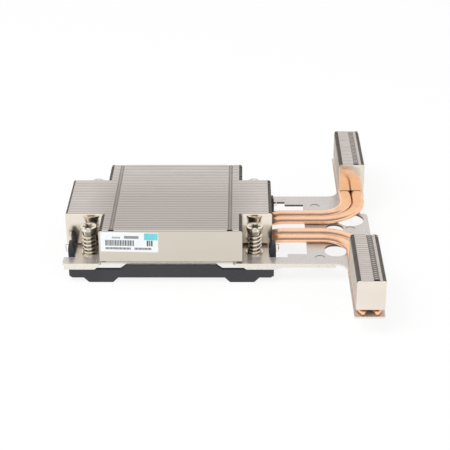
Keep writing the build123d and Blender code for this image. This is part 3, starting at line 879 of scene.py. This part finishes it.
def label_piece():
    """White sticker with plain bars, blocks and one coloured corner."""
    sticker = label_patch("sticker", box_corners(0, 0, 1, 1), 0, LABEL_T, WHITE_PAPER)
    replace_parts(sticker, "label")
    label_patch("sticker_teal", box_corners(0.755, 0.03, 0.99, 0.38), PRINT_LOW, TEAL_HIGH, TEAL)
    label_patch("sticker_block", box_corners(0.41, 0.18, 0.66, 0.32), PRINT_LOW, PRINT_HIGH, SOFT_INK)
    pattern = (0.024, 0.009, 0.014, 0.009, 0.018, 0.01)
    bars("sticker_code", 0.4, 0.69, pattern * 6, 0.085, INK)
    bars("sticker_code_end", 0.4, 0.69, (0.03, 0.01, 0.02, 0.012, 0.03), 0.80, INK)
    letters = (0.018, 0.006, 0.02, 0.006, 0.016, 0.008)
    bars("sticker_line", 0.77, 0.88, letters * 6, 0.085, INK)
    bars("sticker_line_end", 0.77, 0.88, letters * 4, 0.59, INK)
    bars("sticker_top", 0.23, 0.32, letters * 2, 0.2, SOFT_INK)


# Nodes that keep their own shape

def dress_nodes():
    looks = {
        "carrier_plate": (PLATE, 0),
        "copper_base": (BASE_COPPER, 0),
        "hook_loops": (WIRE, 0.06),
        "spring_seats": (STEEL, 0.08),
    }
    for p in PLACES:
        looks[f"ring_{p}"] = (WIRE, 0.06)
    for name, (mat, bevel) in looks.items():
        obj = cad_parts[name]
        if not obj.material_slots:
            obj.data.materials.append(mat)
        for place in obj.material_slots:
            place.material = mat
        if bevel:
            add_bevel(obj, bevel)


def frame_piece():
    """The moulded frame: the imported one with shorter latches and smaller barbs, its corners rounded."""
    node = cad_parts["carrier_frame"]
    obj = bpy.data.objects.new("moulded_frame", node.data.copy())
    bpy.context.scene.collection.objects.link(obj)
    outer = FRAME_HI[0]
    for v in obj.data.vertices:
        if v.co.z > PLATE_HI[2] + LATCH_TOP_OVER:
            v.co.z -= LATCH_DROP
        elif v.co.z > PLATE_HI[2] and abs(v.co.x) < outer - LATCH_DEPTH:
            v.co.x += math.copysign(LATCH_BARB_IN, v.co.x)
    finish_piece(obj, BLACK, "carrier", "carrier_frame")
    add_bevel(obj, FRAME_EDGE)


# Stage, light and camera

def floor():
    """Pale floor that shows white to the camera and in the metal, and still takes a soft shadow."""
    z = FRAME_LO[2]
    half = 3.0
    glow_share = 0.84
    verts = [(-half, -half, z), (half, -half, z), (half, half, z), (-half, half, z)]
    obj = mesh_object("floor", verts, [(0, 1, 2, 3)], smooth=False)
    s = Shader("floor_white")
    s.set("Base Color", (0.97, 0.97, 0.97, 1))
    s.set("Roughness", 0.9)
    s.set("Specular IOR Level", 0.1)
    glow = s.nodes.new("ShaderNodeEmission")
    path = s.nodes.new("ShaderNodeLightPath")
    seen = s.math("MAXIMUM", path.outputs["Is Camera Ray"], path.outputs["Is Glossy Ray"])
    seen = s.math("MAXIMUM", seen, path.outputs["Is Transmission Ray"])
    mix = s.nodes.new("ShaderNodeMixShader")
    s.links.new(s.math("MULTIPLY", seen, glow_share), mix.inputs["Fac"])
    s.links.new(s.out.outputs["BSDF"], mix.inputs[1])
    s.links.new(glow.outputs["Emission"], mix.inputs[2])
    s.links.new(mix.outputs["Shader"], s.nodes["Material Output"].inputs["Surface"])
    obj.data.materials.append(s.mat)


def world_light():
    """White all round the horizon, darker straight above, a little bluer behind."""
    world = bpy.data.worlds.new("studio")
    bpy.context.scene.world = world
    world.use_nodes = True
    nodes = world.node_tree.nodes
    links = world.node_tree.links
    coords = nodes.new("ShaderNodeTexCoord")
    split = nodes.new("ShaderNodeSeparateXYZ")
    links.new(coords.outputs["Generated"], split.inputs["Vector"])
    ramp = nodes.new("ShaderNodeValToRGB")
    links.new(split.outputs["Z"], ramp.inputs["Fac"])
    ramp.color_ramp.elements[0].position = 0.66
    ramp.color_ramp.elements[0].color = (1, 1, 1, 1)
    ramp.color_ramp.elements[1].position = 0.86
    ramp.color_ramp.elements[1].color = (0.25, 0.25, 0.26, 1)
    side = nodes.new("ShaderNodeMapRange")
    side.inputs["From Min"].default_value = -0.3
    side.inputs["From Max"].default_value = 0.5
    links.new(split.outputs["Y"], side.inputs["Value"])
    tint = nodes.new("ShaderNodeMix")
    tint.data_type = "RGBA"
    tint.inputs["A"].default_value = (1.15, 1.14, 1.11, 1)
    tint.inputs["B"].default_value = (0.98, 0.98, 1, 1)
    links.new(side.outputs["Result"], tint.inputs["Factor"])
    product = nodes.new("ShaderNodeMix")
    product.data_type = "RGBA"
    product.blend_type = "MULTIPLY"
    product.inputs["Factor"].default_value = 1
    links.new(tint.outputs["Result"], product.inputs["A"])
    links.new(ramp.outputs["Color"], product.inputs["B"])
    links.new(product.outputs["Result"], nodes["Background"].inputs["Color"])
    nodes["Background"].inputs["Strength"].default_value = 1.0


def area_light(name, place, target, size, power):
    data = bpy.data.lights.new(name, "AREA")
    data.energy = power
    data.size = size
    obj = bpy.data.objects.new(name, data)
    bpy.context.scene.collection.objects.link(obj)
    obj.location = place
    obj.rotation_euler = (Vector(target) - Vector(place)).to_track_quat("-Z", "Y").to_euler()
    obj.visible_glossy = False


def camera():
    """Solved from the photograph: pinhole, no shift."""
    focal_px, picture_px = 1277.8, 450
    place = (40.11 * MM, -662.56 * MM, 364.94 * MM)
    pitch, yaw, roll = 28.353, 0.892, -0.427
    data = bpy.data.cameras.new("camera")
    data.sensor_width = 36
    data.lens = data.sensor_width * focal_px / picture_px
    data.clip_start, data.clip_end = 0.01, 20
    obj = bpy.data.objects.new("camera", data)
    bpy.context.scene.collection.objects.link(obj)
    turn = Euler((math.radians(90 - pitch), 0, math.radians(yaw))).to_matrix()
    turn = turn @ Matrix.Rotation(math.radians(roll), 3, "Z")
    obj.matrix_world = Matrix.Translation(place) @ turn.to_4x4()
    bpy.context.scene.camera = obj


camera()
floor()
world_light()
area_light("overhead", (-0.35, -0.35, 0.95), (0.03, 0, 0), 0.7, 6)
dress_nodes()
frame_piece()
main_fins()
remote_fins("front")
remote_fins("rear")
for pipe_side in (-1, 1):
    for pipe_row in (0, 1):
        heat_pipe(pipe_row, pipe_side)
for screw_place in PLACES:
    screw_piece(screw_place)
    coil(screw_place)
label_piece()

bpy.context.scene.view_settings.view_transform = "Standard"
